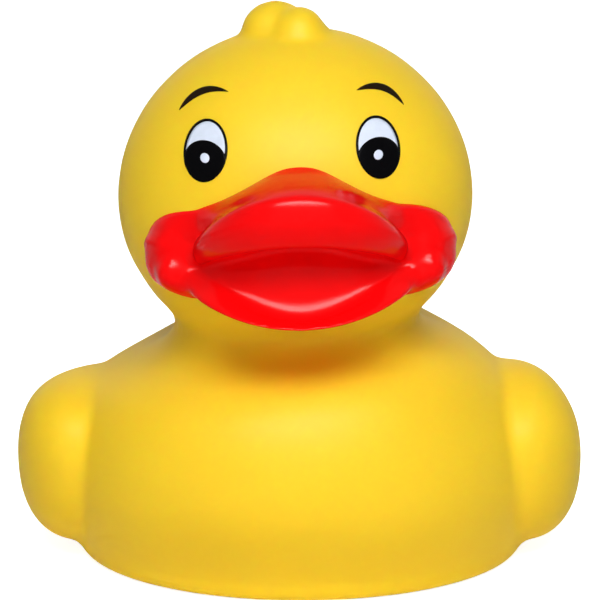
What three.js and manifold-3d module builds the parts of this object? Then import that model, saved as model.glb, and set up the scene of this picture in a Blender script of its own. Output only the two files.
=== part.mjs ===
// Bath duck: one hollow moulding of soft vinyl with a flat base, two wings, an upturned tail, an open
// bill with rolled lips and a small curl on the crown. Millimetres, +Z up, bill towards -Y, the origin
// on the floor under the middle of the moulding's box.

import * as THREE from "three";
import { LoftGeometry } from "three/addons/geometries/LoftGeometry.js";
import { mergeVertices } from "three/addons/utils/BufferGeometryUtils.js";
import Module from "manifold-3d";

// Wall of the moulding and the vent in its base
const WALL = 2;
const VENT_DIAMETER = 3;

// Head, an egg that stands on its small end
const HEAD_WIDTH = 49.4;
const HEAD_LENGTH = 49.4;
const HEAD_RISE = 23.5;
const HEAD_DROP = 22.3;
const HEAD_Y = -8;
const HEAD_Z = 52.7;
const HEAD_ANGLES = [-34, -17, 0, 17, 34, 50, 62, 74, 90];

// Rounded edge between the base and the hull
const EDGE_RADIUS = 2.2;
const EDGE_ANGLES = [0, 45, 90];

// Levels of the body. side is [half width, height], front and back are [y, height] on the centre
// plane, middle is where the level is widest and narrow is how far it draws in towards the tail.
const BODY_WIDTH = 67.6;
const HALF = BODY_WIDTH / 2;
const BASE = { side: [HALF - 1.8, 0], front: [-31, 0], back: [30, 0], middle: 0, narrow: 0.08 };
const WAIST = { side: [HALF, 11], front: [-37.4, 13], back: [37, 13], middle: 0, narrow: 0.22 };
const FLANK = { side: [HALF - 0.6, 18.5], front: [-37.4, 21.5], back: [41.6, 23.5], middle: 0, narrow: 0.4 };
const TAIL = { side: [HALF - 3.6, 24.6], front: [-34.6, 27.6], back: [44, 33.4], middle: -1, narrow: 0.62 };
const RUMP = { side: [HALF - 7.4, 27.9], front: [-30.4, 30.8], back: [38.6, 35], middle: -3, narrow: 0.58 };
const SADDLE = { side: [HALF - 11.6, 30.4], front: [-27, 32.5], back: [26, 31], middle: -5, narrow: 0.4 };
const NAPE = { side: [19.2, 32.9], front: [-25, 33.9], back: [15.4, 33.6], middle: -7, narrow: 0.15 };
const NECK = { side: [17.7, 35.6], front: [-24.2, 35.5], back: [11, 37.4], middle: -8, narrow: 0 };
const TAIL_POINT = 2.4;

// Wings, flattened drops that lie along the flanks from a blunt nose to a tip. out is how far their
// middle stands outside the waist.
const WING_NOSE = { out: -4.2, y: -17, z: 13 };
const WING_BOW = { out: 2.4, y: 4, z: 13.8 };
const WING_TIP = { out: -13.3, y: 30, z: 15.4 };
const WING_HEIGHT = 25;
const WING_THICKNESS = 17.4;
const WING_FULLNESS = 2.3;
const WING_NOSE_SHARE = 0.72;
const WING_BLUNTNESS = 0.55;
const WING_RAKE = 0.3;

// Curl on the crown, two overlapping lobes and the foot of the front one
const CURL_BACK = { x: -2.8, y: 0.9, z: -0.8, width: 9.6, length: 9.6, height: 8.9 };
const CURL_FRONT = { x: 0.2, y: -2.2, z: -0.4, width: 7.4, length: 9, height: 7.1 };
const CURL_FOOT = { x: 2.3, y: -1.4, z: -0.8, width: 6.4, length: 7.6, height: 4.8 };

// Bill. Heights are above the widest ring of the head and reaches are from an upright axis that stands
// a little way inside the face. Each runs from the middle of the bill to its corner, the later the
// higher its curve, and then into the cheek, where reaches count from the face.
const BILL_AXIS_DEPTH = 8.7;
const CORNER_TURN = 73;
const ROOT_TOP = { centre: 7.6, corner: 1.9, curve: 2.6, cheek: 1.3 };
const RIDGE = { centre: 6.4, corner: -2.4, curve: 2, cheek: -1.2 };
const LIP_BOTTOM = { centre: -0.6, corner: -4.7, curve: 2, cheek: -3.6 };
const LOWER_LIP_TOP = { centre: -10.8, corner: -6.4, curve: 2, cheek: -6 };
const LOWER_LIP_BOTTOM = { centre: -12.9, corner: -9.4, curve: 2, cheek: -8.6 };
const ROOT_BOTTOM = { centre: -14.6, corner: -10.8, curve: 2, cheek: -10.2 };
const UPPER_REACH = { centre: 20, corner: 15.6, curve: 2.6, cheek: 3 };
const LOWER_REACH = { centre: 16.5, corner: 16.2, curve: 2.6, cheek: 2.6 };
const THROAT_REACH = { centre: 9.6, corner: 14.2, curve: 3, cheek: 3 };
const CHIN_REACH = { centre: 1, corner: 10, curve: 2.8, cheek: -1 };

// Turns between which the mouth closes, the cheek swells and the bill ends, and the crease beside the
// end of the upper lip
const MOUTH_TURNS = [58, 74];
const CHEEK_TURNS = [66, 82];
const END_TURNS = [74, 99];
const END_SIZE = 0.08;
const CREASE_TURN = 71;
const CREASE_DEPTH = 1;
const CREASE_SPREAD = 3.5;
const CHEEK_Z = -4.6;

// Knob where the lower lip runs into each cheek
const KNOB_TURN = 42.5;
const KNOB_Z = -6.9;
const KNOB_PROUD = 1.5;
const KNOB_DIAMETER = 5.6;

// Fineness of the surfaces
const SKIN_COLUMNS = 60;
const SKIN_PITCH = 3.4;
const INNER_COLUMNS = 28;
const INNER_PITCH = 8;
const WING_POINTS = 24;
const WING_STEPS = 20;
const BILL_POINTS = 44;
const BILL_STEPS = 36;

const wasm = await Module();
wasm.setup();

const { lerp, degToRad, smoothstep } = THREE.MathUtils;

function headLevel(degrees) {
  const angle = degToRad(degrees);
  const height = HEAD_Z + (angle < 0 ? HEAD_DROP : HEAD_RISE) * Math.sin(angle);
  const reach = (HEAD_LENGTH / 2) * Math.cos(angle);
  return {
    side: [(HEAD_WIDTH / 2) * Math.cos(angle), height],
    front: [HEAD_Y - reach, height],
    back: [HEAD_Y + reach, height],
    middle: HEAD_Y,
    narrow: 0,
  };
}

function baseLevel(inwards, height) {
  return {
    ...BASE,
    side: [BASE.side[0] - inwards, height],
    front: [BASE.front[0] + inwards, height],
    back: [BASE.back[0] - inwards, height],
  };
}

// Level of the rounded edge, 0 on the floor and 90 where the hull begins
function edgeLevel(degrees) {
  const angle = degToRad(degrees);
  return baseLevel(EDGE_RADIUS * (1 - Math.sin(angle)), EDGE_RADIUS * (1 - Math.cos(angle)));
}

// Outline of one side of the hull, moved inwards by the depth; facing is -1 for the front
function insetOutline(outline, depth, facing) {
  return outline.map((point, i) => {
    const before = i > 0 ? outline[i - 1] : [point[0], 0];
    const after = i < outline.length - 1 ? outline[i + 1] : [2 * point[0] - before[0], before[1]];
    const along = new THREE.Vector2(after[0] - before[0], after[1] - before[1]).normalize();
    return [point[0] - facing * along.y * depth, point[1] + facing * along.x * depth];
  });
}

function insetLevels(levels, depth) {
  const side = insetOutline(levels.map((level) => level.side), depth, 1);
  const front = insetOutline(levels.map((level) => level.front), depth, -1);
  const back = insetOutline(levels.map((level) => level.back), depth, 1);
  return levels.map((level, i) => ({ ...level, side: side[i], front: front[i], back: back[i] }));
}

// Point of a level, 0 at the front and half a turn at the tail
function levelPoint(level, turn) {
  const ahead = Math.cos(turn);
  const end = ahead > 0 ? level.front : level.back;
  const lift = ahead > 0 ? ahead ** 2 : Math.abs(ahead) ** TAIL_POINT;
  const drawnIn = ahead > 0 ? 0 : level.narrow * ahead ** 2;
  return new THREE.Vector3(
    level.side[0] * Math.sin(turn) * (1 - drawnIn),
    lerp(level.middle, end[0], Math.abs(ahead)),
    lerp(level.side[1], end[1], lift),
  );
}

// Sections of the moulding from the base to the crown
function skinSections(levels, columns, pitch) {
  const places = [0];
  for (let i = 1; i < levels.length; i++) {
    const [width, height] = levels[i].side;
    const [widthBelow, heightBelow] = levels[i - 1].side;
    const steps = Math.ceil(Math.hypot(width - widthBelow, height - heightBelow) / pitch);
    for (let step = 1; step <= steps; step++) {
      places.push((i - 1 + step / steps) / (levels.length - 1));
    }
  }
  const sections = places.map(() => []);
  for (let column = 0; column < columns; column++) {
    const turn = (column / columns) * Math.PI * 2;
    const meridian = new THREE.CatmullRomCurve3(levels.map((level) => levelPoint(level, turn)));
    places.forEach((place, row) => sections[row].push(meridian.getPoint(place)));
  }
  return sections;
}

// Sections of one wing from nose to tip, side 1 on the right and -1 on the left
function wingSections(side, inset, points, steps) {
  const knots = [WING_NOSE, WING_BOW, WING_TIP].map((knot) => {
    return new THREE.Vector3(HALF + knot.out, knot.y, knot.z);
  });
  const spine = new THREE.QuadraticBezierCurve3(...knots);
  return Array.from({ length: steps + 1 }, (_, step) => {
    const share = (1 - Math.cos((step / steps) * Math.PI)) / 2;
    const size = Math.max(Math.sin(Math.PI * share ** WING_NOSE_SHARE), 0) ** WING_BLUNTNESS;
    const centre = spine.getPoint(share);
    const section = Array.from({ length: points }, (_, i) => {
      const angle = (i / points) * Math.PI * 2;
      const out = Math.sign(Math.cos(angle)) * Math.abs(Math.cos(angle)) ** (2 / WING_FULLNESS);
      const up = Math.sign(Math.sin(angle)) * Math.abs(Math.sin(angle)) ** (2 / WING_FULLNESS);
      const x = centre.x + (WING_THICKNESS / 2 - inset) * size * out;
      const z = (WING_HEIGHT / 2 - inset) * size * up;
      return new THREE.Vector3(side * x, centre.y - WING_RAKE * z, centre.z + z);
    });
    return side > 0 ? section.reverse() : section;
  });
}

function lobeGeometry(lobe) {
  return new THREE.SphereGeometry(0.5, 16, 10)
    .rotateX(Math.PI / 2)
    .scale(lobe.width, lobe.length, lobe.height)
    .translate(lobe.x, HEAD_Y + lobe.y, HEAD_Z + HEAD_RISE + lobe.z);
}

// Distance from the bill's axis to the face, on the widest ring of the head
function faceReach(angle) {
  const behind = HEAD_LENGTH / 2 - BILL_AXIS_DEPTH;
  const across = Math.sin(angle) / (HEAD_WIDTH / 2);
  const along = Math.cos(angle) / (HEAD_LENGTH / 2);
  const start = behind / (HEAD_LENGTH / 2);
  const square = across ** 2 + along ** 2;
  return (Math.sqrt((along * start) ** 2 + square * (1 - start ** 2)) - along * start) / square;
}

// Closed section of the open bill on one upright plane through its axis
function billSection(turn) {
  const far = Math.abs(turn);
  const angle = degToRad(turn);
  const face = faceReach(angle);
  const share = Math.min(Math.sin(degToRad(Math.min(far, 90))) / Math.sin(degToRad(CORNER_TURN)), 1);
  const swell = smoothstep(far, ...CHEEK_TURNS);
  const gape = 1 - smoothstep(far, ...MOUTH_TURNS);
  const crease = CREASE_DEPTH * Math.exp(-(((far - CREASE_TURN) / CREASE_SPREAD) ** 2));
  const height = (line) => lerp(lerp(line.centre, line.corner, share ** line.curve), line.cheek, swell);
  const reach = (line) => height({ ...line, cheek: face + line.cheek });
  const rootTop = height(ROOT_TOP);
  const ridge = height(RIDGE);
  const lipBottom = height(LIP_BOTTOM);
  const lowerTop = height(LOWER_LIP_TOP);
  const lowerBottom = height(LOWER_LIP_BOTTOM);
  const rootBottom = height(ROOT_BOTTOM);
  const upper = Math.max(reach(UPPER_REACH) - crease, face + 1.5);
  const lower = reach(LOWER_REACH);
  const throat = reach(THROAT_REACH);
  const chin = reach(CHIN_REACH);
  const lip = ridge - lipBottom;
  const roll = lowerTop - lowerBottom;
  const outline = [
    [face - 3.5, rootTop + 0.2],
    [face + 0.7, rootTop - 0.1],
    [lerp(face, upper, 0.5) + 0.2, lerp(rootTop, ridge, 0.6)],
    [Math.max(upper - lerp(0.7, 2.4, gape), face + 1.2), ridge],
    [upper - gape * 0.1, ridge - lip * 0.3],
    [upper - gape * 0.8, ridge - lip * 0.68],
    [upper - gape * 2.3, lipBottom],
    [lerp(throat, upper, 0.4), lerp(lipBottom, lowerTop, 0.2 * (1 - gape)) + gape * 0.7],
    [throat, lerp(lipBottom, lowerTop, lerp(0.4, 0.08, gape))],
    [lerp(throat, lower, 0.2), lerp(lipBottom, lowerTop, lerp(0.6, 0.42, gape))],
    [lerp(throat, lower, 0.42), lerp(lipBottom, lowerTop, 0.8)],
    [lower - gape * 2.1, lowerTop],
    [lower - gape * 0.8, lowerTop - roll * 0.42],
    [lower, lowerTop - roll * 0.78],
    [lower - 0.8, lowerBottom],
    [lerp(chin, lower, 0.5), lerp(lowerBottom, rootBottom, 0.5)],
    [chin, rootBottom],
    [face - 5, lerp(rootTop, rootBottom, 0.6)],
  ];
  const past = Math.max((far - END_TURNS[0]) / (END_TURNS[1] - END_TURNS[0]), 0);
  const size = Math.max(Math.sqrt(Math.max(1 - past ** 2, 0)), END_SIZE);
  const axisY = HEAD_Y - HEAD_LENGTH / 2 + BILL_AXIS_DEPTH;
  const points = outline.map(([out, level]) => {
    const r = lerp(face - 2, out, size);
    const z = HEAD_Z + lerp(CHEEK_Z, level, size);
    return new THREE.Vector3(r * Math.sin(angle), axisY - r * Math.cos(angle), z);
  });
  return new THREE.CatmullRomCurve3(points, true).getPoints(BILL_POINTS).slice(0, -1);
}

function knobGeometry(side) {
  const angle = degToRad(KNOB_TURN) * side;
  const girth = Math.sqrt(1 - (KNOB_Z / HEAD_DROP) ** 2);
  const x = ((HEAD_WIDTH / 2) * girth + KNOB_PROUD) * Math.sin(angle);
  const y = HEAD_Y - ((HEAD_LENGTH / 2) * girth + KNOB_PROUD) * Math.cos(angle);
  return new THREE.SphereGeometry(KNOB_DIAMETER / 2, 14, 10).translate(x, y, HEAD_Z + KNOB_Z);
}

// Closed solid of a surface, without the triangles that shrink to nothing at its poles
function solidOf(geometry) {
  const bare = new THREE.BufferGeometry().copy(geometry);
  bare.deleteAttribute("normal");
  bare.deleteAttribute("uv");
  const merged = mergeVertices(bare);
  const corners = merged.index.array;
  const kept = [];
  for (let i = 0; i < corners.length; i += 3) {
    const [a, b, c] = corners.slice(i, i + 3);
    if (a !== b && b !== c && c !== a) {
      kept.push(a, b, c);
    }
  }
  return new wasm.Manifold(
    new wasm.Mesh({
      numProp: 3,
      vertProperties: new Float32Array(merged.attributes.position.array),
      triVerts: new Uint32Array(kept),
    }),
  );
}

function meshOf(name, solid, color) {
  const { vertProperties, triVerts } = solid.getMesh();
  const geometry = new THREE.BufferGeometry();
  geometry.setAttribute("position", new THREE.BufferAttribute(vertProperties, 3));
  geometry.setIndex(new THREE.BufferAttribute(triVerts, 1));
  geometry.computeVertexNormals();
  const mesh = new THREE.Mesh(geometry, new THREE.MeshStandardMaterial({ color, roughness: 0.45 }));
  mesh.name = name;
  return mesh;
}

const bodyLevels = [WAIST, FLANK, TAIL, RUMP, SADDLE, NAPE, NECK];
const hullLevels = [...bodyLevels, ...HEAD_ANGLES.map(headLevel)];
const outerLevels = [...EDGE_ANGLES.map(edgeLevel), ...hullLevels];
const innerLevels = [baseLevel(WALL, WALL), ...insetLevels(hullLevels, WALL)];
const outerSections = skinSections(outerLevels, SKIN_COLUMNS, SKIN_PITCH);
const innerSections = skinSections(innerLevels, INNER_COLUMNS, INNER_PITCH);
const billSections = Array.from({ length: BILL_STEPS + 1 }, (_, step) => {
  return billSection(END_TURNS[1] * Math.sin((step / BILL_STEPS - 0.5) * Math.PI));
});
const vent = new THREE.CylinderGeometry(VENT_DIAMETER / 2, VENT_DIAMETER / 2, WALL * 4, 24);

const outside = [
  new LoftGeometry(billSections, { capStart: true, capEnd: true }),
  ...[CURL_BACK, CURL_FRONT, CURL_FOOT].map(lobeGeometry),
  ...[1, -1].map(knobGeometry),
  ...[1, -1].map((side) => new LoftGeometry(wingSections(side, 0, WING_POINTS, WING_STEPS))),
];
const inside = [
  new LoftGeometry(innerSections, { capStart: true }),
  ...[1, -1].map((side) => new LoftGeometry(wingSections(side, WALL, WING_POINTS / 2, WING_STEPS / 2))),
  vent.rotateX(Math.PI / 2),
];

let duck = solidOf(new LoftGeometry(outerSections, { capStart: true }));
for (const geometry of outside) {
  duck = duck.add(solidOf(geometry));
}
for (const geometry of inside) {
  duck = duck.subtract(solidOf(geometry));
}

const group = new THREE.Group();
group.add(meshOf("duck", duck, 0xf5cc2e));

export default group;
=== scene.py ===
"""Rubber duck: a soft vinyl moulding with a painted bill, printed eyes and printed brows."""

from collections import namedtuple
from math import atan2, ceil, copysign, cos, exp, hypot, pi, radians, sin, sqrt

import bmesh
import bpy
from mathutils import Matrix, Vector
from mathutils.bvhtree import BVHTree


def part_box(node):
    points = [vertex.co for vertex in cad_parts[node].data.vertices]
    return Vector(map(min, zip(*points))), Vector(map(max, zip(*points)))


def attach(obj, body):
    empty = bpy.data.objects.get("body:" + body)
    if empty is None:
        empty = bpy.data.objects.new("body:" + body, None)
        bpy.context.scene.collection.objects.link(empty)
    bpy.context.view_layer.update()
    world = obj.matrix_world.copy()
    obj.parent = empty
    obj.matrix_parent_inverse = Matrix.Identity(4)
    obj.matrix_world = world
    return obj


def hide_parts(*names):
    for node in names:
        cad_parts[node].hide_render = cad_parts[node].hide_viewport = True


bl_info = {
    "name": "Rubber duck",
    "version": (1, 0, 0),
    "blender": (4, 5, 0),
    "location": "View3D > Sidebar > Duck",
    "description": "Builds a bath duck with a painted bill and a printed face around its frame",
    "category": "Object",
}

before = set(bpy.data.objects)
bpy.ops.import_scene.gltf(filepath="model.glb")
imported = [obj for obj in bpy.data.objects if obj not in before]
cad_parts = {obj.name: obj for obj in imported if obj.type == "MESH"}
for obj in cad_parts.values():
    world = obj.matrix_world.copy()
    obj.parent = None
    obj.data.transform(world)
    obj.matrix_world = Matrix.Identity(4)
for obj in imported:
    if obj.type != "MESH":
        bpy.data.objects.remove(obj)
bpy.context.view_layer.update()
DUCK_LOW, DUCK_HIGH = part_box("duck")

# Millimetres to metres. Below, plain numbers are in millimetres and degrees
MM = 0.001

# Half span over the wings, how far the wings stand out of the waist, and half the waist
HALF_SPAN = (DUCK_HIGH.x - DUCK_LOW.x) / 2 / MM
WING_OVERHANG = 6.37
HALF = HALF_SPAN - WING_OVERHANG

# Levels of the hull: side is (half width, height), front and back are (y, height) on the centre
# plane, middle is the y of the side and narrow how far the tail half is drawn in
Level = namedtuple("Level", "side front back middle narrow")
BASE = Level((HALF - 1.8, 0), (-31, 0), (30, 0), 0, 0.08)
BODY = (
    Level((HALF, 11), (-37.4, 13), (37, 13), 0, 0.22),
    Level((HALF - 0.6, 18.5), (-37.4, 21.5), (41.6, 23.5), 0, 0.4),
    Level((HALF - 3.6, 24.6), (-34.6, 27.6), (44, 33.4), -1, 0.62),
    Level((HALF - 7.4, 27.9), (-30.4, 30.8), (38.6, 35), -3, 0.58),
    Level((HALF - 11.6, 30.4), (-27, 32.5), (26, 31), -5, 0.4),
    Level((18.6, 32.9), (-25, 33.9), (15.4, 33.6), -7, 0.15),
    Level((17, 35.6), (-24.2, 35.5), (11, 37.4), -8, 0),
)

# Angles of the levels in the base's rounded edge and in the head, and how late the tail turns up
EDGE_ANGLES = (0, 30, 60, 90)
HEAD_ANGLES = (-34, -17, 0, 17, 34, 50, 62, 74, 90)
TAIL_BEND = 2.4

# Spine of a wing as (distance outside the waist, y, height), and how its section swells
WING_KNOTS = ((-4.2, -17, 13), (2.4, 4, 13.8), (-13.3, 30, 15.4))
WING_FULLNESS = 2.3
WING_NOSE_SHARE = 0.72
WING_BLUNTNESS = 0.55
WING_RAKE = 0.3

# Heights between which the head begins to tip, and where the shoulders slump
HEAD_TIPS = (28, 40)
SHOULDER_HEIGHT = 30.5
SHOULDER_SPREAD = 4.5

# Lobes of the crown curl: place above the crown and size along x, y and z
CURL_LOBES = (
    ((-2.4, 0.9, -0.8), (9.6, 9.6, 8.9)),
    ((0.8, -2.2, -0.4), (7.4, 9, 7.1)),
    ((1.9, -1.4, -0.8), (6.4, 7.6, 4.8)),
)

# Lines of the bill: heights above the head's widest ring and reaches from the bill's upright axis,
# at its middle and its corner, how late each one bends, and in the cheek, where reaches count
# from the face
Line = namedtuple("Line", "centre corner curve cheek")
ROOT_TOP = Line(7.6, 1.9, 2.6, 1.6)
RIDGE = Line(6.4, -2.4, 2, -1.2)
LIP_BOTTOM = Line(-1, -5.8, 2, -3.6)
LOWER_LIP_TOP = Line(-11.6, -6.4, 2, -6)
LOWER_LIP_BOTTOM = Line(-12.5, -9.4, 2, -8.8)
ROOT_BOTTOM = Line(-14.6, -10.8, 2, -10.5)
UPPER_REACH = Line(20, 15.6, 2.6, 3.2)
LOWER_REACH = Line(16.3, 16.2, 2.6, 3)
THROAT_REACH = Line(9.6, 14.2, 3, 3)
CHIN_REACH = Line(1, 10, 2.8, -1)

# Depth of that axis behind the front of the face, and turns round it where the corner lies,
# the mouth closes, the cheek swells, the bill ends and the lips are pinched
BILL_AXIS_DEPTH = 8.7
CORNER_TURN = 73
MOUTH_TURNS = (58, 74)
CHEEK_TURNS = (66, 82)
END_TURNS = (75, 100)
PINCH_TURN = 71
PINCH_DEPTH = 1
PINCH_SPREAD = 3.5

# Height and depth under the face that the ends shrink to, their least size, and the least upper lip
CHEEK_MIDDLE = -4.6
CHEEK_SUNK = 2
END_SIZE = 0.03
LEAST_LIP = 1.5

# Knob where the lower lip runs into each cheek: turn round the head, height above its widest ring,
# how far the middle stands out of the face and size along x, y and z
KNOB_TURN = 42.4
KNOB_DROP = -6.8
KNOB_PROUD = 1.7
KNOB_SIZE = (5.4, 5.4, 5.4)

# Prints on the face as x and height, seen from straight ahead. An eye has a centre and a slant,
# a brow has a start, a bend and an end, and a share of its length where it is fullest
EYES = ((-12.59, 62.15, 13), (10.53, 62.66, -15))
BROWS = (
    (((-16.3, 66.6), (-13.45, 70.34), (-9.6, 69.5)), 0.48),
    (((7.7, 69.75), (11.5, 70.9), (14.1, 67.4)), 0.42),
)

# Pupil below the eye's middle, how far it keeps inside the oval, and the spark from that middle
PUPIL_DROP = 1.28
PUPIL_MARGIN = 0.02
SPARK_PLACE = (-0.03, -0.88)

# Shape of a brow: points along it, rows from its edge to its middle, taper and least thickness
BROW_STEPS = 48
BROW_ROWS = (1.0, 0.66, 0.33, 0.0)
BROW_TAPER = 0.75
BROW_END = 0.02

# Thickness of a printed layer of ink, and where the rays that lay it on the face start, in metres
INK = 0.03
RAY_START = -0.2

# Rays that see the background as white, and the glow of the floor for the first and the others
SEEN_RAYS = ("Is Camera Ray", "Is Glossy Ray", "Is Transmission Ray")
FLOOR_GLOW = 0.88
FLOOR_MIRRORED = 0.1
FLOOR_RADIUS = 4.0
BLACK = (0.0, 0.0, 0.0)
WHITE = (1.0, 1.0, 1.0)

# Lamps: degrees round the duck and above the horizon, distance and size in metres,
# and whether they light its colour and show in its gloss
Lamp = namedtuple("Lamp", "azimuth elevation distance size colour gloss")
LAMPS = {
    "key": Lamp(3, 44, 0.9, (0.5, 0.36), True, True),
    "fill": Lamp(3, 24, 1.2, (1.6, 1.2), True, True),
    "back": Lamp(180, 14, 1.2, (1.6, 1.0), True, False),
    "gleam": Lamp(3, 50, 0.9, (0.9, 0.26), False, True),
}

# Width of the picture in pixels and of the camera's sensor in millimetres
PICTURE = 600
SENSOR = 36.0

# Sockets of a Mix node that blends colours
MIX_FACTOR, MIX_FIRST, MIX_SECOND, MIX_RESULT = 0, 6, 7, 2


class DuckShape(bpy.types.PropertyGroup):
    """Sizes of the moulding in metres, and its lean, tilt and slump as slopes"""

    head_width: bpy.props.FloatProperty(
        name="Head width",
        description="Width of the head at its widest ring",
        default=0.0494,
        unit="LENGTH",
    )
    head_rise: bpy.props.FloatProperty(
        name="Head rise",
        description="Height of the crown above the widest ring",
        default=0.0235,
        unit="LENGTH",
    )
    head_drop: bpy.props.FloatProperty(
        name="Head drop",
        description="Depth of the head below its widest ring",
        default=0.0223,
        unit="LENGTH",
    )
    head_forward: bpy.props.FloatProperty(
        name="Head forward",
        description="How far the head sits in front of the middle",
        default=0.008,
        unit="LENGTH",
    )
    head_height: bpy.props.FloatProperty(
        name="Head height",
        description="Height of the head's widest ring",
        default=0.0527,
        unit="LENGTH",
    )
    edge_radius: bpy.props.FloatProperty(
        name="Base edge",
        description="Radius of the edge round the base",
        default=0.0022,
        unit="LENGTH",
    )
    vent: bpy.props.FloatProperty(
        name="Vent",
        description="Diameter of the vent in the base",
        default=0.003,
        unit="LENGTH",
    )
    wing_height: bpy.props.FloatProperty(
        name="Wing height",
        description="Height of a wing at its fullest",
        default=0.025,
        unit="LENGTH",
    )
    wing_thickness: bpy.props.FloatProperty(
        name="Wing thickness",
        description="Thickness of a wing at its fullest",
        default=0.0174,
        unit="LENGTH",
    )
    bill_offset: bpy.props.FloatProperty(
        name="Bill offset",
        description="How far the bill sits to the right of the head",
        default=0.00064,
        unit="LENGTH",
    )
    lean: bpy.props.FloatProperty(
        name="Lean",
        description="How far the soft moulding leans to the left as it rises",
        default=0.0145,
    )
    tilt: bpy.props.FloatProperty(
        name="Tilt",
        description="How far the head tips to the left",
        default=0.019,
    )
    slump: bpy.props.FloatProperty(
        name="Slump",
        description="How far the left shoulder sinks and the right one rises",
        default=0.064,
    )
    skin_grain: bpy.props.FloatProperty(
        name="Skin mesh",
        description="Size of the moulding's mesh",
        default=0.0006,
        unit="LENGTH",
    )
    bill_grain: bpy.props.FloatProperty(
        name="Bill mesh",
        description="Size of the bill's mesh",
        default=0.00028,
        unit="LENGTH",
    )


class DuckPrint(bpy.types.PropertyGroup):
    """Sizes of the printed face, in metres"""

    eye_width: bpy.props.FloatProperty(
        name="Eye width",
        description="Width of an eye's oval",
        default=0.00584,
        unit="LENGTH",
    )
    eye_height: bpy.props.FloatProperty(
        name="Eye height",
        description="Height of an eye's oval",
        default=0.00804,
        unit="LENGTH",
    )
    outline: bpy.props.FloatProperty(
        name="Outline",
        description="Width of the black line round the white",
        default=0.00034,
        unit="LENGTH",
    )
    pupil_width: bpy.props.FloatProperty(
        name="Pupil width",
        description="Width of a pupil",
        default=0.00576,
        unit="LENGTH",
    )
    pupil_height: bpy.props.FloatProperty(
        name="Pupil height",
        description="Height of a pupil",
        default=0.0052,
        unit="LENGTH",
    )
    spark: bpy.props.FloatProperty(
        name="Spark",
        description="Diameter of the white dot in a pupil",
        default=0.00122,
        unit="LENGTH",
    )
    brow: bpy.props.FloatProperty(
        name="Brow",
        description="Thickness of a brow at its fullest",
        default=0.00073,
        unit="LENGTH",
    )


class DuckFinish(bpy.types.PropertyGroup):
    """Colours of the vinyl, the paint and the inks"""

    vinyl: bpy.props.FloatVectorProperty(
        name="Vinyl",
        description="Yellow of the moulding",
        subtype="COLOR",
        size=3,
        default=(0.93, 0.615, 0.024),
    )
    paint: bpy.props.FloatVectorProperty(
        name="Bill paint",
        description="Red of the bill",
        subtype="COLOR",
        size=3,
        default=(0.88, 0.002, 0.003),
    )
    ink: bpy.props.FloatVectorProperty(
        name="Black ink",
        description="Black of the eyes",
        subtype="COLOR",
        size=3,
        default=(0.002, 0.002, 0.0025),
    )
    brow_ink: bpy.props.FloatVectorProperty(
        name="Brow ink",
        description="Brown black of the brows",
        subtype="COLOR",
        size=3,
        default=(0.012, 0.007, 0.003),
    )
    eye_white: bpy.props.FloatVectorProperty(
        name="White ink",
        description="Cool white of the eyes",
        subtype="COLOR",
        size=3,
        default=(0.68, 0.75, 0.88),
    )


class DuckStage(bpy.types.PropertyGroup):
    """Camera, lamps and floor"""

    elevation: bpy.props.FloatProperty(
        name="Elevation",
        description="Height of the camera above the horizon",
        default=radians(12),
        subtype="ANGLE",
    )
    distance: bpy.props.FloatProperty(
        name="Distance",
        description="Distance of the camera",
        default=0.55,
        unit="LENGTH",
    )
    aim: bpy.props.FloatProperty(
        name="Aim",
        description="Height that the camera looks at",
        default=0.036,
        unit="LENGTH",
    )
    pixel: bpy.props.FloatProperty(
        name="Pixel",
        description="Size of one of the picture's 600 pixels at the duck",
        default=0.0001423,
        unit="LENGTH",
    )
    key: bpy.props.FloatProperty(
        name="Key lamp",
        description="Power of the large soft lamp above the camera",
        default=7.0,
        unit="POWER",
    )
    fill: bpy.props.FloatProperty(
        name="Fill lamp",
        description="Power of the wide low lamp in front",
        default=3.7,
        unit="POWER",
    )
    back: bpy.props.FloatProperty(
        name="Back lamp",
        description="Power of the low lamp behind",
        default=5.0,
        unit="POWER",
    )
    gleam: bpy.props.FloatProperty(
        name="Gleam lamp",
        description="Power of the strip that only shows in gloss",
        default=26.0,
        unit="POWER",
    )
    sky: bpy.props.FloatProperty(
        name="Room light",
        description="Strength of the even light from all round",
        default=0.03,
    )
    floor: bpy.props.FloatVectorProperty(
        name="Floor",
        description="Pale floor",
        subtype="COLOR",
        size=3,
        default=(0.92, 0.92, 0.92),
    )


class Wire:
    """An output of a material's nodes; arithmetic on it adds Math nodes."""

    def __init__(self, tree, socket=None):
        self.tree = tree
        self.socket = socket

    def node(self, kind, settings=None, inputs=None, output=0):
        """Adds a node with its settings and inputs and gives one of its outputs"""
        made = self.tree.nodes.new(kind)
        for name, value in (settings or {}).items():
            setattr(made, name, value)
        for name, value in (inputs or {}).items():
            socket = made.inputs[name]
            if isinstance(value, Wire):
                self.tree.links.new(value.socket, socket)
            elif socket.type == "RGBA" and len(value) == 3:
                socket.default_value = (*value, 1.0)
            else:
                socket.default_value = value
        return Wire(self.tree, made.outputs[output] if made.outputs else None)

    def math(self, operation, first, second):
        """Result of a Math node"""
        return self.node("ShaderNodeMath", {"operation": operation}, {0: first, 1: second})

    def mix(self, first, second):
        """Colour between two colours, by this value"""
        inputs = {MIX_FACTOR: self, MIX_FIRST: first, MIX_SECOND: second}
        return self.node("ShaderNodeMix", {"data_type": "RGBA"}, inputs, MIX_RESULT)

    def __add__(self, other):
        return self.math("ADD", self, other)

    def __radd__(self, other):
        return self.math("ADD", other, self)

    def __sub__(self, other):
        return self.math("SUBTRACT", self, other)

    def __rsub__(self, other):
        return self.math("SUBTRACT", other, self)

    def __mul__(self, other):
        return self.math("MULTIPLY", self, other)

    def __rmul__(self, other):
        return self.math("MULTIPLY", other, self)


def new_material(name):
    """A bare material and a wire to build its nodes with"""
    material = bpy.data.materials.new(name)
    material.use_nodes = True
    material.node_tree.nodes.clear()
    return material, Wire(material.node_tree)


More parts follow.
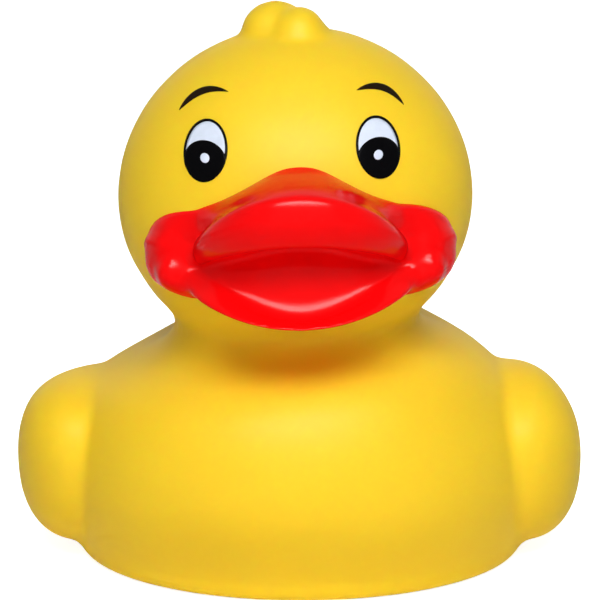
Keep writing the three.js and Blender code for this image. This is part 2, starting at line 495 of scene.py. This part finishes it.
def noise(wire, place, scale, detail):
    """Soft noise at a place"""
    inputs = {"Vector": place, "Scale": scale, "Detail": detail}
    return wire.node("ShaderNodeTexNoise", None, inputs)


def shade(wire, shader, height, strength, distance):
    """Joins a Principled shader, bumped by a height, to the material's output"""
    bump = {"Height": height, "Strength": strength, "Distance": distance}
    normal = wire.node("ShaderNodeBump", None, bump)
    surface = wire.node("ShaderNodeBsdfPrincipled", None, {**shader, "Normal": normal})
    wire.node("ShaderNodeOutputMaterial", None, {"Surface": surface})


def seen_rays(wire):
    """Wires that are 1 for the camera's, the gloss's and the transmitted rays"""
    path = wire.node("ShaderNodeLightPath").socket.node
    return [Wire(wire.tree, path.outputs[name]) for name in SEEN_RAYS]


def tinted(colour, amount):
    """A colour made a little darker or lighter"""
    return tuple(min(part * amount, 1.0) for part in colour)


def vinyl_material(finish):
    """Satin yellow vinyl: a fine moulded skin with faint clouds in its colour"""
    material, wire = new_material("soft_vinyl")
    place = wire.node("ShaderNodeTexCoord", output="Object")
    clouds = noise(wire, place, scale=55.0, detail=3.0)
    grain = noise(wire, place, scale=1900.0, detail=2.0)
    pores = wire.node("ShaderNodeTexVoronoi", None, {"Vector": place, "Scale": 950.0})
    colour = clouds.mix(tinted(finish.vinyl, 0.955), tinted(finish.vinyl, 1.045))
    height = grain * 0.6 + pores * 0.4
    shader = {
        "Base Color": colour,
        "Roughness": 0.4 + clouds * 0.1 + grain * 0.06,
        "IOR": 1.16,
        "Subsurface Weight": 0.3,
        "Subsurface Radius": (1.0, 0.4, 0.05),
        "Subsurface Scale": 0.005,
    }
    shade(wire, shader, height, strength=0.16, distance=0.00006)
    return material


def paint_material(finish):
    """Glossy red paint over the vinyl, a little uneven where it pooled"""
    material, wire = new_material("bill_paint")
    place = wire.node("ShaderNodeTexCoord", output="Object")
    pools = noise(wire, place, scale=130.0, detail=2.0)
    grain = noise(wire, place, scale=1500.0, detail=2.0)
    colour = pools.mix(tinted(finish.paint, 0.93), tinted(finish.paint, 1.07))
    shader = {
        "Base Color": colour,
        "Roughness": 0.14 + pools * 0.03 + grain * 0.02,
        "IOR": 1.14,
    }
    shade(wire, shader, pools + grain * 0.1, strength=0.12, distance=0.00012)
    return material


def ink_material(name, colour, roughness):
    """Printed ink: thin, smooth and faintly patchy"""
    material, wire = new_material(name)
    place = wire.node("ShaderNodeTexCoord", output="Object")
    patches = noise(wire, place, scale=700.0, detail=3.0)
    shader = {
        "Base Color": patches.mix(tinted(colour, 0.9), tinted(colour, 1.1)),
        "Roughness": roughness + patches * 0.12,
        "IOR": 1.06,
    }
    shade(wire, shader, patches, strength=0.05, distance=0.00003)
    return material


def floor_material(stage):
    """Pale floor that shows white to the camera and keeps the shadow"""
    material, wire = new_material("pale_floor")
    seen = seen_rays(wire)
    place = wire.node("ShaderNodeTexCoord", output="Object")
    fleck = noise(wire, place, scale=60.0, detail=3.0)
    colour = fleck.mix(tinted(stage.floor, 0.99), tinted(stage.floor, 1.01))
    board = wire.node("ShaderNodeBsdfDiffuse", None, {"Color": colour})
    shown = seen[0] * FLOOR_GLOW + (seen[1] + seen[2]) * FLOOR_MIRRORED
    lit = wire.node("ShaderNodeEmission", None, {"Color": shown.mix(BLACK, WHITE)})
    surface = wire.node("ShaderNodeAddShader", None, {0: board, 1: lit})
    wire.node("ShaderNodeOutputMaterial", None, {"Surface": surface})
    return material


def lerp(start, end, share):
    """Value at a share of the way from start to end"""
    return start + (end - start) * share


def bezier(start, bend, end, share):
    """Point at a share of the way along a curve with one bend"""
    return start * (1 - share) ** 2 + bend * 2 * share * (1 - share) + end * share**2


def spline(points, places, closed=False):
    """Places from 0 to 1 on a centripetal curve through the points"""
    count = len(points)
    spans = count if closed else count - 1
    made = []
    for place in places:
        span = min(int(place * spans), spans - 1)
        weight = place * spans - span
        here = points[span]
        after = points[(span + 1) % count]
        before = points[span - 1] if closed or span > 0 else here * 2 - after
        beyond = closed or span + 2 < count
        last = points[(span + 2) % count] if beyond else after * 2 - here
        middle = max(sqrt((after - here).length), 1e-4)
        first = sqrt((here - before).length) or middle
        third = sqrt((last - after).length) or middle
        run = (after - here) / middle
        leave = (here - before) / first - (after - before) / (first + middle) + run
        arrive = run - (last - here) / (middle + third) + (last - after) / third
        leave *= middle
        arrive *= middle
        square = (after - here) * 3 - leave * 2 - arrive
        cube = (here - after) * 2 + leave + arrive
        made.append(here + (leave + (square + cube * weight) * weight) * weight)
    return made


def ring_edges(mesh, ring):
    """Edges between the neighbours of a closed ring of points"""
    return [mesh.edges.get((ring[i - 1], ring[i])) for i in range(len(ring))]


def loft(mesh, rings, start_cap=False, end_cap=False):
    """Extrudes a ring of edges from each row of points to the next"""
    start = bmesh.ops.create_circle(mesh, segments=len(rings[0]), radius=1.0)
    ring = list(start["verts"])
    for vertex, point in zip(ring, rings[0]):
        vertex.co = point
    edges = ring_edges(mesh, ring)
    if start_cap:
        bmesh.ops.contextual_create(mesh, geom=edges)
    for row in rings[1:]:
        grown = bmesh.ops.extrude_edge_only(mesh, edges=edges)["geom"]
        new = {part for part in grown if isinstance(part, bmesh.types.BMVert)}
        mates = [[edge.other_vert(vertex) for edge in vertex.link_edges] for vertex in ring]
        ring = [mate for near in mates for mate in near if mate in new]
        for vertex, point in zip(ring, row):
            vertex.co = point
        edges = ring_edges(mesh, ring)
    if end_cap:
        bmesh.ops.contextual_create(mesh, geom=edges)


def close(mesh):
    """Merges the points that meet at the poles and turns every face outwards"""
    bmesh.ops.remove_doubles(mesh, verts=mesh.verts, dist=1e-5)
    bmesh.ops.dissolve_degenerate(mesh, dist=1e-6, edges=mesh.edges)
    bmesh.ops.recalc_face_normals(mesh, faces=mesh.faces)
    return mesh


def head_level(shape, degrees):
    """Level of the head, 0 at its widest ring and 90 at the crown"""
    angle = radians(degrees)
    height = shape.head_height + (shape.head_drop if angle < 0 else shape.head_rise) * sin(angle)
    reach = shape.head_width / 2 * cos(angle) / MM
    middle = -shape.head_forward / MM
    height /= MM
    return Level((reach, height), (middle - reach, height), (middle + reach, height), middle, 0)


def edge_level(shape, degrees):
    """Level of the rounded edge of the base, 0 on the floor and 90 where the hull begins"""
    angle = radians(degrees)
    radius = shape.edge_radius / MM
    inwards = radius * (1 - sin(angle))
    height = radius * (1 - cos(angle))
    side = BASE.side[0] - inwards
    front, back = BASE.front[0] + inwards, BASE.back[0] - inwards
    return Level((side, height), (front, height), (back, height), BASE.middle, BASE.narrow)


def level_point(level, turn):
    """Point of a level, 0 at the front and half a turn at the tail"""
    ahead = cos(turn)
    end = level.front if ahead > 0 else level.back
    lift = abs(ahead) ** (2 if ahead > 0 else TAIL_BEND)
    drawn_in = 0 if ahead > 0 else level.narrow * ahead**2
    x = level.side[0] * sin(turn) * (1 - drawn_in)
    y = lerp(level.middle, end[0], abs(ahead))
    return Vector((x, y, lerp(level.side[1], end[1], lift)))


def hull_shell(shape, columns=144, pitch=1.5):
    """The body, neck and head as one skin from the base to the crown"""
    levels = [edge_level(shape, angle) for angle in EDGE_ANGLES]
    levels += BODY
    levels += [head_level(shape, angle) for angle in HEAD_ANGLES]
    places = [0.0]
    for i in range(1, len(levels)):
        start, end = levels[i - 1].side, levels[i].side
        steps = ceil(hypot(end[0] - start[0], end[1] - start[1]) / pitch)
        places += [(i - 1 + (step + 1) / steps) / (len(levels) - 1) for step in range(steps)]
    turns = [column / columns * 2 * pi for column in range(columns)]
    meridians = [spline([level_point(level, turn) for level in levels], places) for turn in turns]
    mesh = bmesh.new()
    loft(mesh, list(zip(*meridians)), start_cap=True)
    return close(mesh)


def wing_shell(shape, side, points=64, steps=56):
    """One wing, a flattened drop along the flank; side is 1 on the right and -1 on the left"""
    nose, bow, tip = (Vector((HALF + out, y, z)) for out, y, z in WING_KNOTS)
    rings = []
    for step in range(steps + 1):
        share = (1 - cos(step / steps * pi)) / 2
        size = max(sin(pi * share**WING_NOSE_SHARE), 0) ** WING_BLUNTNESS
        centre = bezier(nose, bow, tip, share)
        ring = []
        for i in range(points):
            angle = i / points * 2 * pi
            out = copysign(abs(cos(angle)) ** (2 / WING_FULLNESS), cos(angle))
            up = copysign(abs(sin(angle)) ** (2 / WING_FULLNESS), sin(angle))
            x = centre.x + shape.wing_thickness / MM / 2 * size * out
            z = shape.wing_height / MM / 2 * size * up
            ring.append(Vector((side * x, centre.y - WING_RAKE * z, centre.z + z)))
        rings.append(ring)
    mesh = bmesh.new()
    loft(mesh, rings)
    return close(mesh)


def ball_shell(centre, size):
    """A ball stretched to a size along x, y and z"""
    place = Matrix.Translation(centre) @ Matrix.Diagonal((*size, 1))
    mesh = bmesh.new()
    bmesh.ops.create_uvsphere(mesh, u_segments=64, v_segments=40, radius=0.5, matrix=place)
    return mesh


def ease(share):
    """Soft step from 0 to 1"""
    share = min(max(share, 0), 1)
    return share * share * (3 - 2 * share)


def bill_section(shape, turn, points):
    """Closed section of the open bill on one upright plane through its axis"""
    far = abs(turn)
    angle = radians(turn)
    share = min(sin(radians(min(far, 90))) / sin(radians(CORNER_TURN)), 1)
    swell = ease((far - CHEEK_TURNS[0]) / (CHEEK_TURNS[1] - CHEEK_TURNS[0]))
    gape = 1 - ease((far - MOUTH_TURNS[0]) / (MOUTH_TURNS[1] - MOUTH_TURNS[0]))
    girth = shape.head_width / 2 / MM
    inset = girth - BILL_AXIS_DEPTH
    face = sqrt(girth**2 - (inset * sin(angle)) ** 2) - inset * cos(angle)

    def at(line, start=0):
        return lerp(lerp(line.centre, line.corner, share**line.curve), start + line.cheek, swell)

    root_top, ridge, lip_bottom = at(ROOT_TOP), at(RIDGE), at(LIP_BOTTOM)
    lower_top, lower_bottom = at(LOWER_LIP_TOP), at(LOWER_LIP_BOTTOM)
    root_bottom = at(ROOT_BOTTOM)
    pinch = PINCH_DEPTH * exp(-(((far - PINCH_TURN) / PINCH_SPREAD) ** 2))
    upper = max(at(UPPER_REACH, face) - pinch, face + LEAST_LIP)
    lower, throat = at(LOWER_REACH, face), at(THROAT_REACH, face)
    chin = at(CHIN_REACH, face)
    lip = ridge - lip_bottom
    roll = lower_top - lower_bottom

    # Reach and height of each knot: root, upper lip, roof and floor of the mouth, lower lip, chin
    outline = (
        (face - 3.5, root_top + 0.2),
        (face + 0.7, root_top - 0.1),
        (lerp(face, upper, 0.5) + 0.2, lerp(root_top, ridge, 0.5)),
        (max(upper - lerp(0.9, 2.2, gape), face + 1.2), ridge),
        (upper - lerp(0.6, 1, gape), ridge - lip * lerp(0.15, 0.06, gape)),
        (upper - lerp(0.4, 0.3, gape), ridge - lip * 0.25),
        (upper - lerp(0.15, 0.1, gape), ridge - lip * 0.47),
        (upper - gape * 0.8, ridge - lip * 0.74),
        (upper - gape * 2.4, lip_bottom),
        (lerp(throat, upper, 0.4), lerp(lip_bottom, lower_top, 0.2 - gape * 0.2) + gape * 0.7),
        (throat, lerp(lip_bottom, lower_top, lerp(0.4, 0.08, gape))),
        (lerp(throat, lower, 0.14), lerp(lip_bottom, lower_top, lerp(0.5, 0.42, gape))),
        (lerp(throat, lower, 0.32), lerp(lip_bottom, lower_top, lerp(0.65, 0.86, gape))),
        (lerp(throat, lower, 0.58), lerp(lip_bottom, lower_top, lerp(0.8, 1.03, gape))),
        (lower - gape * 2.1, lower_top),
        (lower - gape * 0.8, lower_top - roll * 0.42),
        (lower - lerp(0.25, 0, gape), lower_top - roll * 0.78),
        (lower - lerp(0.5, 0.8, gape), lower_bottom),
        (lerp(chin, lower, lerp(0.66, 0.5, gape)), lerp(lower_bottom, root_bottom, 0.5)),
        (chin, root_bottom),
        (face - 5, lerp(root_top, root_bottom, 0.6)),
    )
    past = max(far - END_TURNS[0], 0) / (END_TURNS[1] - END_TURNS[0])
    size = max(sqrt(max(1 - past**2, 0)), END_SIZE)
    axis = -shape.head_forward / MM - inset
    knots = []
    for reach, level in outline:
        r = lerp(face - CHEEK_SUNK, reach, size)
        z = shape.head_height / MM + lerp(CHEEK_MIDDLE, level, size)
        knots.append(Vector((r * sin(angle), axis - r * cos(angle), z)))
    return spline(knots, [i / points for i in range(points)], closed=True)


def bill_shell(shape, points=128, steps=160):
    """The open bill from cheek to cheek"""
    turns = [END_TURNS[1] * sin(lerp(-pi, pi, step / steps) / 2) for step in range(steps + 1)]
    mesh = bmesh.new()
    rings = [bill_section(shape, turn, points) for turn in turns]
    loft(mesh, rings, start_cap=True, end_cap=True)
    return close(mesh)


def knob_shell(shape, side):
    """The knob where the lower lip runs into one cheek"""
    angle = radians(KNOB_TURN) * side
    share = sqrt(1 - (KNOB_DROP * MM / shape.head_drop) ** 2)
    girth = share * shape.head_width / 2 / MM + KNOB_PROUD
    x, y = girth * sin(angle), -shape.head_forward / MM - girth * cos(angle)
    return ball_shell((x, y, shape.head_height / MM + KNOB_DROP), KNOB_SIZE)


def settled(shape, point):
    """Where a point of the straight moulding lies in the soft one, which leans as it stands"""
    tip = shape.tilt * ease((point.z - HEAD_TIPS[0]) / (HEAD_TIPS[1] - HEAD_TIPS[0]))
    tip += shape.slump * exp(-(((point.z - SHOULDER_HEIGHT) / SHOULDER_SPREAD) ** 2))
    x = point.x - shape.lean * (point.z - WING_KNOTS[0][2])
    return Vector((x, point.y, point.z + tip * point.x))


def mesh_data(name, mesh):
    """Mesh data of a bmesh, which is freed"""
    data = bpy.data.meshes.new(name)
    mesh.to_mesh(data)
    mesh.free()
    return data


def add_object(name, data):
    """An object in the scene"""
    made = bpy.data.objects.new(name, data)
    bpy.context.scene.collection.objects.link(made)
    return made


def modified_data(made):
    """Mesh data of an object with its modifiers carried out"""
    graph = bpy.context.evaluated_depsgraph_get()
    return bpy.data.meshes.new_from_object(made.evaluated_get(graph))


def fuse(shells, grain, valley, rounds, polish=4):
    """One closed skin round overlapping shells, eased in the valleys between them"""
    trees = [BVHTree.FromBMesh(shell) for shell in shells]
    joined = bmesh.new()
    for shell in shells:
        part = mesh_data("part", shell)
        joined.from_mesh(part)
        bpy.data.meshes.remove(part)
    bmesh.ops.triangulate(joined, faces=joined.faces)
    bmesh.ops.scale(joined, vec=(MM, MM, MM), verts=joined.verts)
    rough = mesh_data("rough", joined)
    holder = add_object("rough", rough)
    remesh = holder.modifiers.new("skin", "REMESH")
    remesh.mode = "VOXEL"
    remesh.voxel_size = grain
    remesh.adaptivity = 0.0
    skin = modified_data(holder)
    bpy.data.objects.remove(holder)
    bpy.data.meshes.remove(rough)
    mesh = bmesh.new()
    mesh.from_mesh(skin)
    bpy.data.meshes.remove(skin)
    bmesh.ops.scale(mesh, vec=(1 / MM, 1 / MM, 1 / MM), verts=mesh.verts)
    near = []
    for vertex in mesh.verts:
        found = [tree.find_nearest(vertex.co, valley)[0] for tree in trees]
        if len(found) - found.count(None) > 1:
            near.append(vertex)
    for verts, times in ((near, rounds), (mesh.verts[:], polish)):
        for _ in range(times):
            bmesh.ops.smooth_vert(
                mesh, verts=verts, factor=0.5, use_axis_x=True, use_axis_y=True, use_axis_z=True
            )
    return mesh


def piece(name, mesh, materials):
    """Makes an object of a bmesh in millimetres, riding on the root in place of the plain solid"""
    if not mesh.faces:
        raise RuntimeError(f"{name} has no faces")
    bmesh.ops.scale(mesh, vec=(MM, MM, MM), verts=mesh.verts)
    for face in mesh.faces:
        face.smooth = True
    data = mesh_data(name, mesh)
    for material in materials:
        data.materials.append(material)
    made = add_object(name, data)
    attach(made, "root")
    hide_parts("duck")
    return made


def cut_vent(shape, made):
    """Cuts the round vent into the flat base, as deep as it is wide"""
    mesh = bmesh.new()
    bmesh.ops.create_cone(
        mesh,
        cap_ends=True,
        segments=48,
        radius1=shape.vent / 2,
        radius2=shape.vent / 2,
        depth=shape.vent * 2,
    )
    data = mesh_data("vent", mesh)
    cutter = add_object("vent", data)
    cut = made.modifiers.new("vent", "BOOLEAN")
    cut.operation = "DIFFERENCE"
    cut.solver = "EXACT"
    cut.object = cutter
    pierced = modified_data(made)
    made.modifiers.clear()
    old = made.data
    pierced.name = old.name + "_skin"
    made.data = pierced
    bpy.data.meshes.remove(old)
    bpy.data.objects.remove(cutter)
    bpy.data.meshes.remove(data)


def moulding_skin(context):
    """The moulding, ready to be hit by rays"""
    made = bpy.data.objects["moulding"]
    return BVHTree.FromObject(made, context.evaluated_depsgraph_get())


def print_on(skin, points, lift):
    """Lays points given as x and height on the front of the moulding, in millimetres"""
    shape = bpy.context.scene.duck_shape
    heart = Vector((0, -shape.head_forward, shape.head_height)) / MM
    laid = []
    for x, z in points:
        spot = skin.ray_cast(Vector((x * MM, RAY_START, z * MM)), Vector((0, 1, 0)))[0]
        if spot is None:
            raise RuntimeError("a print misses the face")
        spot = spot / MM
        laid.append(spot + (spot - heart).normalized() * lift)
    return laid


def layer(mesh, skin, outline, centre, lift, material, rings=10):
    """A printed layer: its outline sunk into the skin, raised by ink and filled to the centre"""
    before = set(mesh.faces)
    rows = [print_on(skin, outline, -INK)]
    for ring in range(rings + 1):
        share = 1 - ring / rings
        row = [(lerp(centre[0], x, share), lerp(centre[1], z, share)) for x, z in outline]
        rows.append(print_on(skin, row, lift))
    loft(mesh, rows, start_cap=True)
    for face in mesh.faces:
        if face not in before:
            face.material_index = material


def oval(centre, width, height, slant, points=96):
    """Outline of an oval whose top leans to the right by the slant in degrees"""
    lean = radians(slant)
    outline = []
    for i in range(points):
        angle = i / points * 2 * pi
        u, v = width / 2 * cos(angle), height / 2 * sin(angle)
        x, z = u * cos(lean) + v * sin(lean), v * cos(lean) - u * sin(lean)
        outline.append((centre[0] + x, centre[1] + z))
    return outline


def inside_oval(point, start, centre, width, height, slant):
    """A point, drawn back towards a start inside an oval where it lies outside the oval"""
    lean = radians(slant)

    def flat(place):
        x, z = place[0] - centre[0], place[1] - centre[1]
        across, along = x * cos(lean) - z * sin(lean), x * sin(lean) + z * cos(lean)
        return across / width * 2, along / height * 2

    u, v = flat(start)
    du, dv = (end - begin for begin, end in zip((u, v), flat(point)))
    a, b, c = du * du + dv * dv, u * du + v * dv, u * u + v * v - 1
    share = min((-b + sqrt(b * b - a * c)) / a, 1)
    return lerp(start[0], point[0], share), lerp(start[1], point[1], share)


class DUCK_OT_moulding(bpy.types.Operator):
    """Builds the yellow moulding: hull, wings, tail, head and crown curl in one skin"""

    bl_idname = "duck.moulding"
    bl_label = "Moulding"

    def execute(self, context):
        shape = context.scene.duck_shape
        crown = Vector((0, -shape.head_forward, shape.head_height + shape.head_rise)) / MM
        shells = [hull_shell(shape)]
        shells += [wing_shell(shape, side) for side in (1, -1)]
        shells += [ball_shell(crown + Vector(place), size) for place, size in CURL_LOBES]
        mesh = fuse(shells, shape.skin_grain, valley=0.9, rounds=6)
        for vertex in mesh.verts:
            vertex.co = settled(shape, vertex.co)
            vertex.co.z = max(vertex.co.z, 0)
        made = piece("moulding", mesh, [vinyl_material(context.scene.duck_finish)])
        cut_vent(shape, made)
        return {"FINISHED"}


class DUCK_OT_bill(bpy.types.Operator):
    """Builds the red bill with its rolled lips, its cheeks and the knobs at its corners"""

    bl_idname = "duck.bill"
    bl_label = "Bill"

    def execute(self, context):
        shape = context.scene.duck_shape
        shells = [bill_shell(shape)]
        shells += [knob_shell(shape, side) for side in (1, -1)]
        mesh = fuse(shells, shape.bill_grain, valley=0.9, rounds=24, polish=10)
        offset = Vector((shape.bill_offset / MM, 0, 0))
        for vertex in mesh.verts:
            vertex.co = settled(shape, vertex.co + offset)
        piece("bill", mesh, [paint_material(context.scene.duck_finish)])
        return {"FINISHED"}


class DUCK_OT_eyes(bpy.types.Operator):
    """Prints the two eyes: black oval, white, pupil and spark"""

    bl_idname = "duck.eyes"
    bl_label = "Eyes"

    def execute(self, context):
        sizes = context.scene.duck_print
        finish = context.scene.duck_finish
        skin = moulding_skin(context)
        width, height = sizes.eye_width / MM, sizes.eye_height / MM
        rim = 2 * sizes.outline / MM
        limits = (width - PUPIL_MARGIN, height - PUPIL_MARGIN)
        mesh = bmesh.new()
        for x, z, slant in EYES:
            centre = (x, z)
            pupil = (x, z - PUPIL_DROP)
            spark = (x + SPARK_PLACE[0], z + SPARK_PLACE[1])
            ball = oval(pupil, sizes.pupil_width / MM, sizes.pupil_height / MM, 0)
            ball = [inside_oval(point, pupil, centre, *limits, slant) for point in ball]
            dot = oval(spark, sizes.spark / MM, sizes.spark / MM, 0, points=48)
            black = oval(centre, width, height, slant)
            white = oval(centre, width - rim, height - rim, slant)
            layer(mesh, skin, black, centre, INK * 2, 0)
            layer(mesh, skin, white, centre, INK * 3, 1)
            layer(mesh, skin, ball, pupil, INK * 4, 0)
            layer(mesh, skin, dot, spark, INK * 5, 1, rings=4)
        inks = [
            ink_material("black_ink", finish.ink, roughness=0.22),
            ink_material("white_ink", finish.eye_white, roughness=0.3),
        ]
        piece("eyes", close(mesh), inks)
        return {"FINISHED"}


class DUCK_OT_brows(bpy.types.Operator):
    """Prints the two brows, each a stroke that tapers to both ends"""

    bl_idname = "duck.brows"
    bl_label = "Brows"

    def execute(self, context):
        skin = moulding_skin(context)
        thick = context.scene.duck_print.brow / MM
        ink = context.scene.duck_finish.brow_ink
        mesh = bmesh.new()
        for knots, fullest in BROWS:
            start, bend, end = (Vector(knot) for knot in knots)
            upper, lower, middle = [], [], []
            for step in range(BROW_STEPS + 1):
                share = step / BROW_STEPS
                spot = bezier(start, bend, end, share)
                ahead = lerp(bend - start, end - bend, share)
                heading = atan2(ahead[1], ahead[0])
                rise = share / fullest if share < fullest else (1 - share) / (1 - fullest)
                half = thick / 2 * max(rise * (2 - rise), BROW_END) ** BROW_TAPER
                across = Vector((-sin(heading), cos(heading))) * half
                upper.append(spot + across)
                lower.append(spot - across)
                middle.append(spot)
            outline = upper + lower[::-1]
            middle += middle[::-1]
            rows = [print_on(skin, outline, -INK)]
            for share in BROW_ROWS:
                spread = [lerp(inner, outer, share) for outer, inner in zip(outline, middle)]
                rows.append(print_on(skin, spread, INK * 2))
            loft(mesh, rows, start_cap=True)
        piece("brows", close(mesh), [ink_material("brow_ink", ink, roughness=0.4)])
        return {"FINISHED"}


class DUCK_OT_stage(bpy.types.Operator):
    """Sets the floor, the soft lamps and the camera"""

    bl_idname = "duck.stage"
    bl_label = "Stage"

    def execute(self, context):
        scene = context.scene
        stage = scene.duck_stage
        mesh = bmesh.new()
        under = Matrix.Translation((0, 0, -INK * MM))
        bmesh.ops.create_circle(
            mesh, cap_ends=True, segments=96, radius=FLOOR_RADIUS, matrix=under
        )
        data = mesh_data("floor", mesh)
        data.materials.append(floor_material(stage))
        floor = add_object("floor", data)

        aim = Vector((0, 0, stage.aim))
        for name, lamp in LAMPS.items():
            light = bpy.data.lights.new(name, "AREA")
            light.shape = "RECTANGLE"
            light.size, light.size_y = lamp.size
            light.energy = getattr(stage, name)
            holder = add_object(name, light)
            holder.visible_diffuse = lamp.colour
            holder.visible_glossy = lamp.gloss
            turn, lift = radians(lamp.azimuth), radians(lamp.elevation)
            towards = Vector((sin(turn) * cos(lift), -cos(turn) * cos(lift), sin(lift)))
            holder.location = aim + towards * lamp.distance
            holder.rotation_euler = (aim - holder.location).to_track_quat("-Z", "Y").to_euler()

        world = bpy.data.worlds.new("room")
        scene.world = world
        world.use_nodes = True
        world.node_tree.nodes.clear()
        wire = Wire(world.node_tree)
        seen = seen_rays(wire)
        shown = (seen[0] + seen[1] + seen[2]).mix((stage.sky,) * 3, WHITE)
        room = wire.node("ShaderNodeBackground", None, {"Color": shown})
        wire.node("ShaderNodeOutputWorld", None, {"Surface": room})

        camera = bpy.data.cameras.new("camera")
        camera.sensor_width = SENSOR
        camera.lens = SENSOR * stage.distance / (PICTURE * stage.pixel)
        camera.shift_x = 0.5 / PICTURE
        holder = add_object("camera", camera)
        back = Vector((0, -cos(stage.elevation), sin(stage.elevation)))
        holder.location = aim + back * stage.distance
        holder.rotation_euler = (pi / 2 - stage.elevation, 0, 0)
        scene.camera = holder
        scene.view_settings.view_transform = "Standard"
        return {"FINISHED"}


class DUCK_PT_panel(bpy.types.Panel):
    """Lists the duck's pieces and their sizes"""

    bl_label = "Duck"
    bl_idname = "DUCK_PT_panel"
    bl_space_type = "VIEW_3D"
    bl_region_type = "UI"
    bl_category = "Duck"

    def draw(self, context):
        for operator in OPERATORS:
            self.layout.operator(operator.bl_idname)
        for name in GROUPS:
            box = self.layout.box()
            settings = getattr(context.scene, name)
            for prop in settings.__annotations__:
                box.prop(settings, prop)


OPERATORS = (DUCK_OT_moulding, DUCK_OT_bill, DUCK_OT_eyes, DUCK_OT_brows, DUCK_OT_stage)
GROUPS = {
    "duck_shape": DuckShape,
    "duck_print": DuckPrint,
    "duck_finish": DuckFinish,
    "duck_stage": DuckStage,
}


def register():
    """Registers the groups, the operators and the panel"""
    for group in (*GROUPS.values(), *OPERATORS, DUCK_PT_panel):
        bpy.utils.register_class(group)
    for name, group in GROUPS.items():
        setattr(bpy.types.Scene, name, bpy.props.PointerProperty(type=group))


def unregister():
    """Takes back what register() did"""
    for name in GROUPS:
        delattr(bpy.types.Scene, name)
    for group in (DUCK_PT_panel, *reversed(OPERATORS), *reversed(list(GROUPS.values()))):
        bpy.utils.unregister_class(group)


def main():
    """Builds the duck and its stage"""
    register()
    bpy.ops.duck.moulding()
    bpy.ops.duck.bill()
    bpy.ops.duck.eyes()
    bpy.ops.duck.brows()
    bpy.ops.duck.stage()


if __name__ == "__main__":
    main()
